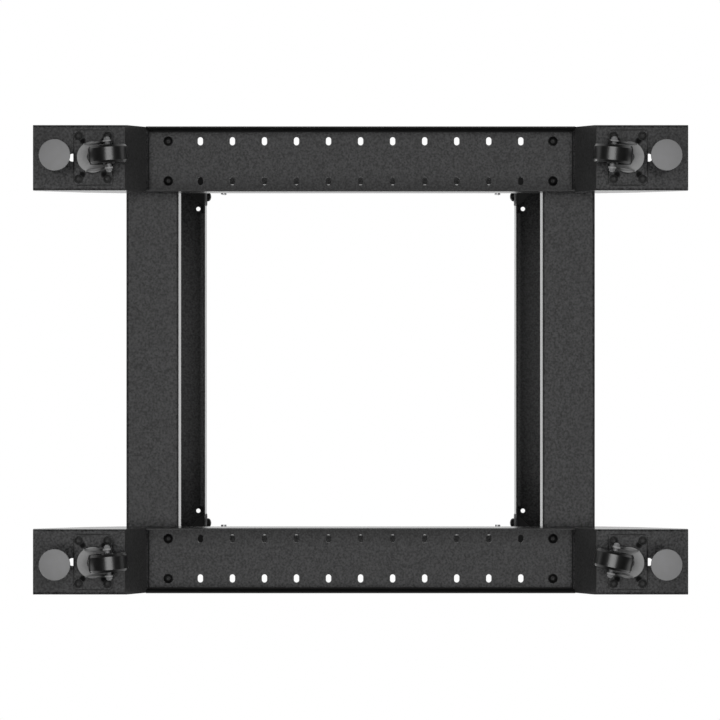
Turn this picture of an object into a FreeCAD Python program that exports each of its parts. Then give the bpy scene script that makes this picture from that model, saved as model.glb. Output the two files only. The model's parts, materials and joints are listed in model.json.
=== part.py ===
import FreeCAD, Part
import os
import re
import Sketcher

# Four post open frame rack, 18 rack units, on swivel casters and levelling feet.
# Frame: X across the rack, Y from front (-Y) to back (+Y), Z up.
# Origin: on the floor, under the middle of the rack.  Millimetres.

os.makedirs("parts", exist_ok=True)
Vector = FreeCAD.Vector
doc = FreeCAD.newDocument("four_post_open_frame_rack")

# ---------------------------------------------------------------- driving dimensions
dimensions = [
    ("frame_width", 600.0, "outside width of the frame"),
    ("rack_units", 18, "clear height in rack units"),
    ("unit_height", 44.45, "one rack unit"),
    ("steel", 2.0, "sheet thickness of every folded part"),
    ("bend", 1.2, "inside radius of every fold"),
    ("member_width", 83.6, "width of base rail and outrigger foot"),
    ("slot_pitch", 41.64, "pitch of the depth adjustment slots"),
    ("slot_count", 13, "slots in one row of a base rail"),
    ("slot_long", 10.6, "slot length, across the rail"),
    ("slot_wide", 6.8, "slot width, along the rail"),
    ("bolt_rows", 51.7, "distance between the two rows of slots or bolts"),
    ("bolt_hole", 6.6, "clearance hole for a frame screw"),
    ("beam_width", 68.0, "width of a cross-member"),
    ("beam_height", 73.5, "height of a cross-member"),
    ("beam_lip", 7.0, "return lip on a cross-member flange"),
    ("lip_gap", 2.5, "lip stops this far short of a post"),
    ("rail_height", 58.5, "height of a base rail"),
    ("rail_gap", 0.3, "end of a base rail to an outrigger foot"),
    ("top_rail_height", 45.0, "height of a top rail"),
    ("top_rail_gap", 1.0, "top rail flange to cross-member"),
    ("tongue_margin", 13.0, "end screw to the end of a top rail"),
    ("post_opening", 451.0, "clear width between the front post flanges"),
    ("rear_flange", 65.0, "width of the rear flange of a post"),
    ("post_fit", 0.1, "side clearance of a post in its cross-member"),
    ("post_end_gap", 1.5, "post end to cross-member web"),
    ("post_screw", 50.3, "post outer face to its end screw"),
    ("rack_holes", 465.1, "distance between the two columns of square holes"),
    ("square_hole", 9.5, "square hole for a cage nut"),
    ("hole_first", 6.35, "edge of a rack unit to its first hole"),
    ("hole_step", 15.875, "spacing of the three holes in one unit"),
    ("foot_height", 90.0, "height of an outrigger foot at the frame"),
    ("foot_reach", 113.8, "foot beyond the cross-member"),
    ("foot_tip", 16.5, "side wall height at the tip"),
    ("knee_reach", 51.5, "cross-member to the knee in the side wall"),
    ("knee_height", 67.5, "side wall height at the knee"),
    ("ramp_start", 3.6, "flat sole runs this far under the cross-member"),
    ("ramp_run", 24.8, "length of the sloping end of the sole"),
    ("ramp_rise", 42.0, "rise of the sloping end of the sole"),
    ("ear_width", 24.0, "bolting ear at the top of a foot"),
    ("caster_reach", 36.6, "cross-member to the swivel axis"),
    ("plate_long", 71.5, "caster plate, across the foot"),
    ("plate_wide", 51.0, "caster plate, along the foot"),
    ("plate_thick", 2.5, "caster plate thickness"),
    ("plate_corner", 6.0, "corner radius of the caster plate"),
    ("plate_bolts_x", 55.0, "caster bolts, across the foot"),
    ("plate_bolts_y", 37.0, "caster bolts, along the foot"),
    ("race_radius", 18.8, "radius of the swivel race"),
    ("race_depth", 5.0, "depth of the upper race"),
    ("race_gap", 0.5, "running gap in the swivel race"),
    ("crown_depth", 9.1, "depth of the fork crown"),
    ("fork_steel", 2.0, "thickness of the fork"),
    ("kingpin", 8.0, "diameter of the kingpin"),
    ("kingpin_head", 14.0, "diameter of the kingpin head"),
    ("head_depth", 2.0, "depth of the kingpin head"),
    ("pin_fit", 0.2, "radial clearance of the kingpin"),
    ("wheel_clearance", 6.5, "top of the wheel to the fork crown"),
    ("trail", 21.9, "swivel axis to wheel axle"),
    ("wheel_diameter", 50.0, "caster wheel"),
    ("wheel_width", 22.5, "width over the wheel shoulders"),
    ("tread_width", 16.5, "flat part of the tread"),
    ("shoulder", 1.8, "drop of the wheel shoulder"),
    ("rim_depth", 6.5, "radial depth of the wheel rim"),
    ("dish", 2.5, "depth of the dish in the wheel face"),
    ("hub_width", 24.0, "length of the wheel hub"),
    ("hub_diameter", 14.0, "diameter of the wheel hub"),
    ("fork_opening", 32.0, "inside width between the fork legs"),
    ("axle", 6.0, "diameter of the wheel axle"),
    ("axle_fit", 0.1, "radial clearance of the axle in the wheel"),
    ("axle_length", 44.6, "length of the axle bolt"),
    ("leg_back", 10.6, "swivel axis to the back edge of a fork leg"),
    ("leg_front", 18.3, "swivel axis to the front edge of a fork leg"),
    ("leg_end", 7.0, "radius of the lower end of a fork leg"),
    ("nut_flats", 10.0, "axle nut, across flats"),
    ("nut_depth", 4.0, "axle nut, thickness"),
    ("leveller_reach", 80.8, "cross-member to the levelling foot"),
    ("leveller_stem", 10.0, "diameter of the levelling stem"),
    ("stem_fit", 0.15, "radial clearance of the stem in its nut"),
    ("stem_hole", 10.8, "hole in the sole for the levelling stem"),
    ("stem_top", 37.0, "stem above the sole of the foot"),
    ("pad_diameter", 39.5, "levelling pad"),
    ("pad_depth", 5.0, "levelling pad thickness"),
    ("pad_drop", 72.0, "sole of the foot to the underside of the pad"),
    ("pad_edge", 1.2, "rounding of the pad"),
    ("boss_diameter", 17.0, "boss on the pad"),
    ("boss_depth", 7.0, "boss height above the pad"),
    ("leveller_flats", 17.0, "levelling nut, across flats"),
    ("leveller_nut_depth", 8.0, "levelling nut, thickness"),
    ("spare_hole_reach", 63.4, "cross-member to the spare hole in the sole"),
    ("spare_hole", 10.0, "diameter of the spare hole"),
    ("swivel_front_left", -4.4, "direction of each caster's trail, degrees from the back"),
    ("swivel_front_right", -4.4, "nearly straight in"),
    ("swivel_rear_left", 192.3, "turned a little more"),
    ("swivel_rear_right", 184.8, "nearly straight in"),
]
sheet = doc.addObject("Spreadsheet::Sheet", "dims")
for row, (alias, size, note) in enumerate(dimensions, start=1):
    sheet.set(f"A{row}", note)
    sheet.set(f"B{row}", str(size))
    sheet.setAlias(f"B{row}", alias)
doc.recompute()
aliases = {alias for alias, size, note in dimensions}

# Lengths that follow from the driving dimensions, as formulas.
clear_height = "(rack_units * unit_height)"
frame_height = f"({clear_height} + 2 * beam_height)"
member_x = "(frame_width / 2 - member_width / 2)"
bolt_x = "(bolt_rows / 2)"
beam_y = "(slot_count * slot_pitch / 2)"
frame_y = f"({beam_y} + beam_width / 2)"
inner_y = f"({beam_y} - beam_width / 2)"
post_depth = "(beam_width - 2 * steel - 2 * post_fit)"
post_base = "(steel + post_end_gap)"
post_height = f"({frame_height} - 2 * {post_base})"
front_flange = "(frame_width / 2 - post_opening / 2)"
fork_inside = "(fork_opening / 2)"
crown_top = "(plate_thick + race_depth + race_gap)"
crown_under = f"({crown_top} + crown_depth)"
caster_height = f"({crown_under} + wheel_clearance + wheel_diameter)"
axle_drop = f"({caster_height} - wheel_diameter / 2)"
deck_level = f"({caster_height} + foot_height)"
ramp_angle = "atan(ramp_rise / ramp_run)"


# ---------------------------------------------------------------- helpers
def formula(text):
    """Adds the sheet's name to every dimension in a formula."""
    return re.sub(r"[a-z_]+", lambda word: "dims." + word[0] if word[0] in aliases else word[0], str(text))


def value(text):
    """The number that a formula gives."""
    return float(sheet.evalExpression(formula(text)))


def bind(thing, prop, text):
    thing.setExpression(prop, formula(text))


def place(thing, x=0, y=0, z=0, turn=0):
    """Puts a sub-part at x, y, z, turned about its own Z axis."""
    thing.Placement = FreeCAD.Placement(Vector(0, 0, 0), FreeCAD.Rotation(Vector(0, 0, 1), turn))
    for axis, text in zip("xyz", (x, y, z)):
        bind(thing, f"Placement.Base.{axis}", text)


def origin_feature(body, role):
    return next(feature for feature in body.Origin.OriginFeatures if feature.Role == role)


def new_body(label):
    body = doc.addObject("PartDesign::Body", label)
    body.Label = label
    return body


def new_sketch(body, name, plane, offset=None):
    sketch = body.newObject("Sketcher::SketchObject", name)
    sketch.AttachmentSupport = [(origin_feature(body, plane), "")]
    sketch.MapMode = "FlatFace"
    if offset is not None:
        bind(sketch, "AttachmentOffset.Base.z", offset)
    return sketch


def tie(sketch, geometry, point, x, y):
    """Ties one point of a sketch to two formulas."""
    for axis, text in (("DistanceX", x), ("DistanceY", y)):
        index = sketch.addConstraint(Sketcher.Constraint(axis, -1, 1, geometry, point, value(text)))
        bind(sketch, f"Constraints[{index}]", text)


def measure(sketch, kind, geometry, text):
    """Sets a radius or diameter of a sketch curve to a formula."""
    index = sketch.addConstraint(Sketcher.Constraint(kind, geometry, value(text)))
    bind(sketch, f"Constraints[{index}]", text)


def draw_outline(sketch, corners):
    """A closed outline of straight edges through the given corners."""
    points = [Vector(value(x), value(y), 0) for x, y in corners]
    first = sketch.GeometryCount
    count = len(points)
    for i in range(count):
        sketch.addGeometry(Part.LineSegment(points[i], points[(i + 1) % count]), False)
    for i in range(count):
        following = first + (i + 1) % count
        sketch.addConstraint(Sketcher.Constraint("Coincident", first + i, 2, following, 1))
    for i, (x, y) in enumerate(corners):
        tie(sketch, first + i, 1, x, y)


def draw_rectangle(sketch, low_x, high_x, low_y, high_y):
    draw_outline(sketch, [(low_x, low_y), (high_x, low_y), (high_x, high_y), (low_x, high_y)])


def draw_circle(sketch, x, y, diameter):
    circle = Part.Circle(Vector(value(x), value(y), 0), Vector(0, 0, 1), value(diameter) / 2)
    index = sketch.addGeometry(circle, False)
    tie(sketch, index, 3, x, y)
    measure(sketch, "Diameter", index, diameter)


def draw_slot(sketch, x, y, long, wide):
    """A round-ended slot, long in X, centred on x, y."""
    reach = f"({long} - {wide}) / 2"
    radius = value(wide) / 2
    ends = [Vector(value(f"{x} {sign} {reach}"), value(y), 0) for sign in "-+"]
    up = Vector(0, radius, 0)
    left = sketch.addGeometry(Part.ArcOfCircle(Part.Circle(ends[0], Vector(0, 0, 1), radius),
                                               1.5707963, 4.7123890), False)
    right = sketch.addGeometry(Part.ArcOfCircle(Part.Circle(ends[1], Vector(0, 0, 1), radius),
                                                -1.5707963, 1.5707963), False)
    low = sketch.addGeometry(Part.LineSegment(ends[0] - up, ends[1] - up), False)
    high = sketch.addGeometry(Part.LineSegment(ends[1] + up, ends[0] + up), False)
    for one, one_end, other, other_end in ((left, 2, low, 1), (low, 2, right, 1),
                                           (right, 2, high, 1), (high, 2, left, 1)):
        sketch.addConstraint(Sketcher.Constraint("Tangent", one, one_end, other, other_end))
    tie(sketch, left, 3, f"{x} - {reach}", y)
    tie(sketch, right, 3, f"{x} + {reach}", y)
    measure(sketch, "Radius", left, f"{wide} / 2")


def extrude(body, kind, sketch, length=None, symmetric=False, backwards=False):
    """A Pad or Pocket of a sketch; a Pocket with no length goes through everything."""
    feature = body.newObject("PartDesign::" + kind, kind.lower() + "_" + sketch.Name)
    feature.Profile = sketch
    if length is None:
        feature.Type = "ThroughAll"
    else:
        bind(feature, "Length", length)
    if symmetric:
        feature.SideType = "Symmetric"
    feature.Reversed = backwards
    doc.recompute()
    return feature


def revolve(body, sketch, axis):
    feature = body.newObject("PartDesign::Revolution", "turned_" + sketch.Name)
    feature.Profile = sketch
    feature.ReferenceAxis = (origin_feature(body, axis), [""])
    doc.recompute()
    return feature


def repeat(body, feature, axis, spacing, count):
    """Repeats a feature along an axis of its body."""
    row = body.newObject("PartDesign::LinearPattern", "row_" + feature.Name)
    row.Originals = [feature]
    row.Direction = (origin_feature(body, axis), [""])
    bind(row, "Length", f"{spacing} * ({count} - 1)")
    bind(row, "Occurrences", count)
    body.Tip = row
    doc.recompute()
    return row


def edges_at(shape, **fixed):
    """Names of straight edges on which the given coordinates hold one value all along."""
    found = []
    for number, edge in enumerate(shape.Edges, start=1):
        ends = [vertex.Point for vertex in edge.Vertexes]
        if len(ends) != 2 or edge.Curve.TypeId != "Part::GeomLine":
            continue
        if all(abs(getattr(end, axis) - place) < 1e-4 for end in ends for axis, place in fixed.items()):
            found.append(f"Edge{number}")
    return found


def fold(body, lines, radius):
    """Rounds the edges that run along the given fold lines."""
    base = body.Tip
    names = [name for line in lines for name in edges_at(base.Shape, **line)]
    feature = body.newObject("PartDesign::Fillet", "fold_" + body.Label)
    feature.Base = (base, names)
    bind(feature, "Radius", radius)
    doc.recompute()
    return feature


def fold_both(body, outer, inner):
    """Rounds the outside of each fold, then the inside."""
    fold(body, outer, "bend + steel")
    fold(body, inner, "bend")


# ---------------------------------------------------------------- frame
def cross_member(label, y, z, upside_down):
    """Lipped channel across the rack: web below, flanges up, lips cut back where the posts stand."""
    body = new_body(label)
    half, wall = "beam_width / 2", "(beam_width / 2 - steel)"
    profile = new_sketch(body, "section", "YZ_Plane")
    right = [(half, "beam_height"), (f"{half} - beam_lip", "beam_height"),
             (f"{half} - beam_lip", "beam_height - steel"), (wall, "beam_height - steel"), (wall, "steel")]
    left = [(f"-({across})", up) for across, up in reversed(right)]
    draw_outline(profile, [(f"-{half}", "0"), (half, "0")] + right + left)
    extrude(body, "Pad", profile, "frame_width", symmetric=True)

    half_width, height, sheet_now = value(half), value("beam_height"), value("steel")
    corners = [(sign * half_width, level) for sign in (-1, 1) for level in (0, height)]
    fold_both(body,
              [{"y": across, "z": level} for across, level in corners],
              [{"y": across - sheet_now * (1 if across > 0 else -1),
                "z": level + (sheet_now if level == 0 else -sheet_now)} for across, level in corners])

    notch = new_sketch(body, "lip_notch", "XZ_Plane")
    start = "(post_opening / 2 - lip_gap)"
    for sign in ("", "-"):
        draw_rectangle(notch, f"{sign}{start}", f"{sign}(frame_width / 2 + steel)",
                       "beam_height - bend - steel", "beam_height + steel")
    extrude(body, "Pocket", notch, symmetric=True)

    web_holes = new_sketch(body, "web_holes", "XY_Plane", "steel")
    for side in ("", "-"):
        for row in ("+", "-"):
            for along in ("", "-"):
                draw_circle(web_holes, f"{side}({member_x} {row} {bolt_x})", f"{along}(slot_pitch / 2)",
                            "bolt_hole")
    extrude(body, "Pocket", web_holes, "2 * steel")

    flange_holes = new_sketch(body, "flange_holes", "XZ_Plane")
    for side in ("", "-"):
        draw_circle(flange_holes, f"{side}(frame_width / 2 - post_screw)", "beam_height / 2", "bolt_hole")
    extrude(body, "Pocket", flange_holes, symmetric=True)
    place(body, 0, y, z)
    if upside_down:
        body.Placement.Rotation = FreeCAD.Rotation(Vector(0, 1, 0), 180)
    return body


def base_rail(label, x):
    """Channel from front to back under the cross-members, web up, with two rows of slots."""
    body = new_body(label)
    half, wall = "member_width / 2", "(member_width / 2 - steel)"
    profile = new_sketch(body, "section", "XZ_Plane")
    draw_outline(profile, [(f"-{half}", "0"), (f"-{half}", "-rail_height"), (f"-{wall}", "-rail_height"),
                           (f"-{wall}", "-steel"), (wall, "-steel"), (wall, "-rail_height"),
                           (half, "-rail_height"), (half, "0")])
    extrude(body, "Pad", profile, f"2 * ({frame_y} - ramp_start - ramp_run - rail_gap)", symmetric=True)
    outside, inside, sheet_now = value(half), value(wall), value("steel")
    fold_both(body, [{"x": sign * outside, "z": 0} for sign in (-1, 1)],
              [{"x": sign * inside, "z": -sheet_now} for sign in (-1, 1)])
    slots = new_sketch(body, "slots", "XY_Plane", "steel")
    for row in ("-", ""):
        draw_slot(slots, f"{row}({bolt_x})", "-(slot_count - 1) / 2 * slot_pitch", "slot_long", "slot_wide")
    cut = extrude(body, "Pocket", slots)
    repeat(body, cut, "Y_Axis", "slot_pitch", "slot_count")
    place(body, x, 0, deck_level)
    return body


def top_rail(label, x):
    """Narrow channel from front to back; its web runs on over the cross-members as a tongue."""
    body = new_body(label)
    half = f"(frame_width / 2 - {member_x} - {bolt_x})"
    wall = f"({half} - steel)"
    low = "(steel - top_rail_height)"
    profile = new_sketch(body, "section", "XZ_Plane")
    draw_outline(profile, [(f"-{half}", "steel"), (f"-{half}", low), (f"-{wall}", low), (f"-{wall}", "0"),
                           (wall, "0"), (wall, low), (half, low), (half, "steel")])
    extrude(body, "Pad", profile, "(slot_count - 1) * slot_pitch + 2 * tongue_margin", symmetric=True)
    outside, inside, sheet_now = value(half), value(wall), value("steel")
    fold_both(body, [{"x": sign * outside, "z": sheet_now} for sign in (-1, 1)],
              [{"x": sign * inside, "z": 0} for sign in (-1, 1)])
    cope = new_sketch(body, "cope", "YZ_Plane")
    for sign in ("", "-"):
        draw_rectangle(cope, f"{sign}({inner_y} - top_rail_gap)", f"{sign}({frame_y})", low + " - steel", "0")
    extrude(body, "Pocket", cope, symmetric=True)
    holes = new_sketch(body, "end_holes", "XY_Plane", "2 * steel")
    for sign in ("", "-"):
        draw_circle(holes, "0", f"{sign}((slot_count - 1) / 2 * slot_pitch)", "bolt_hole")
    extrude(body, "Pocket", holes)
    place(body, x, 0, f"{deck_level} + {frame_height}")
    return body


def post(label, hand, x, y, turn):
    """Folded upright: wide front flange with square holes, side web, narrower rear flange."""
    body = new_body(label)
    side = "-" if hand > 0 else ""
    half, wall = f"{post_depth} / 2", f"({post_depth} / 2 - steel)"
    profile = new_sketch(body, "section", "XY_Plane")
    draw_outline(profile, [("0", f"-{half}"), ("0", half), (f"{side}rear_flange", half),
                           (f"{side}rear_flange", wall), (f"{side}steel", wall), (f"{side}steel", f"-{wall}"),
                           (f"{side}{front_flange}", f"-{wall}"), (f"{side}{front_flange}", f"-{half}")])
    extrude(body, "Pad", profile, post_height)
    outside, inside = value(half), value(wall)
    fold_both(body, [{"x": 0, "y": sign * outside} for sign in (-1, 1)],
              [{"x": -hand * value("steel"), "y": sign * inside} for sign in (-1, 1)])
    squares = new_sketch(body, "square_holes", "XZ_Plane")
    column = "(frame_width / 2 - rack_holes / 2)"
    for step in range(3):
        level = f"(beam_height - {post_base} + hole_first + {step} * hole_step)"
        draw_rectangle(squares, f"{side}{column} - square_hole / 2", f"{side}{column} + square_hole / 2",
                       f"{level} - square_hole / 2", f"{level} + square_hole / 2")
    cut = extrude(body, "Pocket", squares, backwards=True)
    repeat(body, cut, "Z_Axis", "unit_height", "rack_units")
    screws = new_sketch(body, "screw_holes", "XZ_Plane")
    for level in (f"beam_height / 2 - {post_base}", f"{post_height} + {post_base} - beam_height / 2"):
        draw_circle(screws, f"{side}post_screw", level, "bolt_hole")
    extrude(body, "Pocket", screws, symmetric=True)
    place(body, x, y, f"{deck_level} + {post_base}", turn)
    return body


def outrigger_foot(label, x, y, turn):
    """Folded trough that carries a caster and a levelling foot in front of or behind the frame."""
    body = new_body(label)
    back = "(ramp_start + ramp_run)"
    half, wall, ear = "member_width / 2", "(member_width / 2 - steel)", "(member_width / 2 - ear_width)"
    under = "(foot_height - steel)"
    profile = new_sketch(body, "section", "XZ_Plane", back)
    right = [(half, "0"), (half, "foot_height"), (ear, "foot_height"), (ear, under), (wall, under),
             (wall, "steel")]
    draw_outline(profile, right + [(f"-{across}", up) for across, up in reversed(right)])
    extrude(body, "Pad", profile, f"{back} + foot_reach", backwards=True)
    outside, inside, top, sheet_now = value(half), value(wall), value("foot_height"), value("steel")
    fold_both(body, [{"x": sign * outside, "z": level} for sign in (-1, 1) for level in (0, top)],
              [{"x": sign * inside, "z": level} for sign in (-1, 1) for level in (sheet_now, top - sheet_now)])

    taper = new_sketch(body, "taper", "YZ_Plane")
    draw_outline(taper, [("0", "foot_height"), ("knee_reach", "knee_height"), ("foot_reach", "foot_tip"),
                         ("foot_reach + steel", "foot_tip"), ("foot_reach + steel", "foot_height + steel"),
                         ("0", "foot_height + steel")])
    extrude(body, "Pocket", taper, symmetric=True)
    toe = new_sketch(body, "ramp_clearance", "YZ_Plane")
    draw_outline(toe, [("-ramp_start", "-steel"), ("-ramp_start", "0"), (f"-{back}", "ramp_rise"),
                       (f"-{back} - steel", "ramp_rise"), (f"-{back} - steel", "-steel")])
    extrude(body, "Pocket", toe, symmetric=True)

    ramp = new_sketch(body, "ramp", "YZ_Plane")
    corner = f"(ramp_start - steel * tan({ramp_angle} / 2))"
    draw_outline(ramp, [("-ramp_start", "0"), (f"-{corner}", "steel"),
                        (f"-{back}", f"steel + ({back} - {corner}) * ramp_rise / ramp_run"),
                        (f"-{back}", "ramp_rise")])
    extrude(body, "Pad", ramp, "member_width - 2 * steel", symmetric=True)
    tip = new_sketch(body, "tip_wall", "YZ_Plane")
    draw_rectangle(tip, "foot_reach - steel", "foot_reach", "steel / 2", "foot_tip")
    extrude(body, "Pad", tip, "member_width - 2 * steel", symmetric=True)

    ear_holes = new_sketch(body, "ear_holes", "XY_Plane", "foot_height + steel")
    for sign in ("", "-"):
        draw_circle(ear_holes, f"{sign}({bolt_x})", "slot_pitch / 2 - beam_width / 2", "bolt_hole")
    extrude(body, "Pocket", ear_holes, "3 * steel")

    sole_holes = new_sketch(body, "sole_holes", "XY_Plane", "2 * steel")
    draw_circle(sole_holes, "0", "leveller_reach", "stem_hole")
    for across in ("", "-"):
        for along in ("+", "-"):
            draw_circle(sole_holes, f"{across}(plate_bolts_x / 2)", f"caster_reach {along} plate_bolts_y / 2",
                        "bolt_hole")
    extrude(body, "Pocket", sole_holes, "3 * steel")
    spare = new_sketch(body, "spare_hole", "XY_Plane", "2 * steel")
    draw_circle(spare, "0", "spare_hole_reach", "spare_hole")
    extrude(body, "Pocket", spare, "3 * steel")
    place(body, x, y, caster_height, turn)
    return body


# ---------------------------------------------------------------- casters
def caster_plate(label, x, y):
    """Mounting plate with the upper swivel race and the kingpin."""
    body = new_body(label)
    plate = new_sketch(body, "plate", "XY_Plane")
    draw_rectangle(plate, "-plate_long / 2", "plate_long / 2", "-plate_wide / 2", "plate_wide / 2")
    extrude(body, "Pad", plate, "plate_thick", backwards=True)
    long_half, wide_half = value("plate_long / 2"), value("plate_wide / 2")
    fold(body, [{"x": i * long_half, "y": j * wide_half} for i in (-1, 1) for j in (-1, 1)], "plate_corner")
    race = new_sketch(body, "race", "XZ_Plane")
    lip = "(race_depth / 4)"
    draw_outline(race, [("0", "-plate_thick / 2"), ("race_radius - race_depth / 2", "-plate_thick / 2"),
                        ("race_radius - race_depth / 2", "-plate_thick"),
                        ("race_radius", f"-plate_thick - {lip}"), ("race_radius", "-plate_thick - race_depth"),
                        ("kingpin / 2", "-plate_thick - race_depth"),
                        ("kingpin / 2", f"-{crown_under} - race_gap"),
                        ("kingpin_head / 2", f"-{crown_under} - race_gap"),
                        ("kingpin_head / 2", f"-{crown_under} - race_gap - head_depth"),
                        ("0", f"-{crown_under} - race_gap - head_depth")])
    revolve(body, race, "Z_Axis")
    holes = new_sketch(body, "holes", "XY_Plane", "steel")
    for across in ("", "-"):
        for along in ("", "-"):
            draw_circle(holes, f"{across}(plate_bolts_x / 2)", f"{along}(plate_bolts_y / 2)", "bolt_hole")
    extrude(body, "Pocket", holes, "2 * plate_thick + steel")
    place(body, x, y, caster_height)
    return body


def caster_fork(label, x, y, turn):
    """Fork: round crown under the race, and two tapering legs down to the axle; +Y is the trail."""
    body = new_body(label)
    outside = f"({fork_inside} + fork_steel)"
    legs = new_sketch(body, "leg_side_view", "YZ_Plane")
    axle_z = f"-{axle_drop}"
    radius = value("leg_end")
    end = Vector(value("trail"), value(axle_z), 0)
    top_z = f"(fork_steel - {crown_under})"
    back, front = "-leg_back", "leg_front"
    # The leg tapers from the crown to a round end; its two straight edges touch the round.
    lines = [Part.LineSegment(Vector(value(back), value(top_z), 0), Vector(value(front), value(top_z), 0)),
             Part.LineSegment(Vector(value(front), value(top_z), 0), end + Vector(radius, 2, 0)),
             Part.LineSegment(end + Vector(-radius, -2, 0), Vector(value(back), value(top_z), 0))]
    top, right, left = [legs.addGeometry(line, False) for line in lines]
    arc = legs.addGeometry(Part.ArcOfCircle(Part.Circle(end, Vector(0, 0, 1), radius), 3.4, 6.5), False)
    legs.addConstraint(Sketcher.Constraint("Coincident", top, 2, right, 1))
    legs.addConstraint(Sketcher.Constraint("Coincident", left, 2, top, 1))
    legs.addConstraint(Sketcher.Constraint("Tangent", right, 2, arc, 2))
    legs.addConstraint(Sketcher.Constraint("Tangent", left, 1, arc, 1))
    tie(legs, arc, 3, "trail", axle_z)
    measure(legs, "Radius", arc, "leg_end")
    tie(legs, top, 1, back, top_z)
    tie(legs, top, 2, front, top_z)
    extrude(body, "Pad", legs, f"2 * {outside}", symmetric=True)

    crown = new_sketch(body, "crown", "XZ_Plane")
    rim = "(race_radius + fork_steel / 2)"
    draw_outline(crown, [("0", f"-{crown_under}"), (rim, f"-{crown_under}"), (rim, top_z),
                         ("race_radius - fork_steel", f"-{crown_top}"), ("0", f"-{crown_top}")])
    revolve(body, crown, "Z_Axis")

    gap = new_sketch(body, "wheel_gap", "XZ_Plane", "-2 * trail")
    draw_rectangle(gap, f"-{fork_inside}", fork_inside, f"-{axle_drop} - 2 * leg_end", f"-{crown_under}")
    extrude(body, "Pocket", gap, "4 * trail", backwards=True)

    pin_hole = new_sketch(body, "kingpin_hole", "XY_Plane")
    draw_circle(pin_hole, "0", "0", "kingpin + 2 * pin_fit")
    extrude(body, "Pocket", pin_hole)
    axle_hole = new_sketch(body, "axle_hole", "YZ_Plane")
    draw_circle(axle_hole, "trail", axle_z, "axle + 2 * axle_fit")
    extrude(body, "Pocket", axle_hole, symmetric=True)
    place(body, x, y, caster_height, turn)
    return body


def caster_wheel(label, x, y, turn):
    """Solid wheel: flat tread, sloping shoulders, dished faces and a hub with a plain bore."""
    body = new_body(label)
    radius = "(wheel_diameter / 2)"
    section = new_sketch(body, "half_section", "XY_Plane")
    right = [("hub_width / 2", "axle / 2 + axle_fit"), ("hub_width / 2", "hub_diameter / 2"),
             ("wheel_width / 2 - dish", "hub_diameter / 2 + dish / 2"),
             ("wheel_width / 2 - dish", f"{radius} - shoulder - rim_depth"),
             ("wheel_width / 2", f"{radius} - shoulder - rim_depth + dish / 2"),
             ("wheel_width / 2", f"{radius} - shoulder"), ("tread_width / 2", radius)]
    left = [(f"-({along})", up) for along, up in reversed(right)]
    draw_outline(section, right + left)
    revolve(body, section, "X_Axis")
    place(body, x, y, "wheel_diameter / 2", turn)
    return body


def along_x(thing, start):
    """Lays a cylinder or prism along X, from the given start."""
    thing.Placement = FreeCAD.Placement(Vector(0, 0, 0), FreeCAD.Rotation(Vector(0, 1, 0), 90))
    bind(thing, "Placement.Base.x", start)


def caster_axle(label, x, y, turn):
    """Axle bolt with a nut outside each fork leg."""
    pieces = [doc.addObject("Part::Cylinder", label + "_shaft")]
    bind(pieces[0], "Radius", "axle / 2")
    bind(pieces[0], "Height", "axle_length")
    along_x(pieces[0], "-axle_length / 2")
    leg_face = f"({fork_inside} + fork_steel)"
    for side, start in (("left", f"-{leg_face} - nut_depth"), ("right", leg_face)):
        nut = doc.addObject("Part::Prism", f"{label}_nut_{side}")
        nut.Polygon = 6
        bind(nut, "Circumradius", "nut_flats / sqrt(3)")
        bind(nut, "Height", "nut_depth")
        along_x(nut, start)
        pieces.append(nut)
    axle = doc.addObject("Part::MultiFuse", label)
    axle.Label = label
    axle.Shapes = pieces
    place(axle, x, y, "wheel_diameter / 2", turn)
    return axle


# ---------------------------------------------------------------- levelling feet
def levelling_foot(label, x, y):
    """Round pad on a boss and a stem; the stem goes up through the sole and its nut."""
    body = new_body(label)
    section = new_sketch(body, "half_section", "XZ_Plane")
    under, top = "-pad_drop", "(pad_depth - pad_drop)"
    rim, stem, boss = "pad_diameter / 2", "leveller_stem / 2", "boss_diameter / 2"
    draw_outline(section, [("0", under), (f"{rim} - pad_edge", under), (rim, f"{under} + pad_edge"),
                           (rim, f"{top} - pad_edge"), (f"{rim} - pad_edge", top), (boss, top),
                           (f"{boss} - pad_edge", f"{top} + boss_depth"), (stem, f"{top} + boss_depth"),
                           (stem, "stem_top - pad_edge"), (f"{stem} - pad_edge", "stem_top"),
                           ("0", "stem_top")])
    revolve(body, section, "Z_Axis")
    place(body, x, y, caster_height)
    return body


def levelling_nut(label, x, y):
    """Hexagon nut on the inside of the sole, round the levelling stem."""
    blank = doc.addObject("Part::Prism", label + "_blank")
    blank.Polygon = 6
    bind(blank, "Circumradius", "leveller_flats / sqrt(3)")
    bind(blank, "Height", "leveller_nut_depth")
    bore = doc.addObject("Part::Cylinder", label + "_bore")
    bind(bore, "Radius", "leveller_stem / 2 + stem_fit")
    bind(bore, "Height", "leveller_nut_depth")
    nut = doc.addObject("Part::Cut", label)
    nut.Label = label
    nut.Base = blank
    nut.Tool = bore
    place(nut, x, y, f"{caster_height} + steel")
    return nut


# ---------------------------------------------------------------- the rack
subparts = [
    cross_member("base_front_cross_member", f"-{beam_y}", deck_level, False),
    cross_member("base_rear_cross_member", beam_y, deck_level, False),
    cross_member("top_front_cross_member", f"-{beam_y}", f"{deck_level} + {frame_height}", True),
    cross_member("top_rear_cross_member", beam_y, f"{deck_level} + {frame_height}", True),
]
for side, x_sign in (("left", "-"), ("right", "")):
    subparts += [base_rail(f"base_side_rail_{side}", f"{x_sign}{member_x}"),
                 top_rail(f"top_side_rail_{side}", f"{x_sign}({member_x} + {bolt_x})")]

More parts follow.
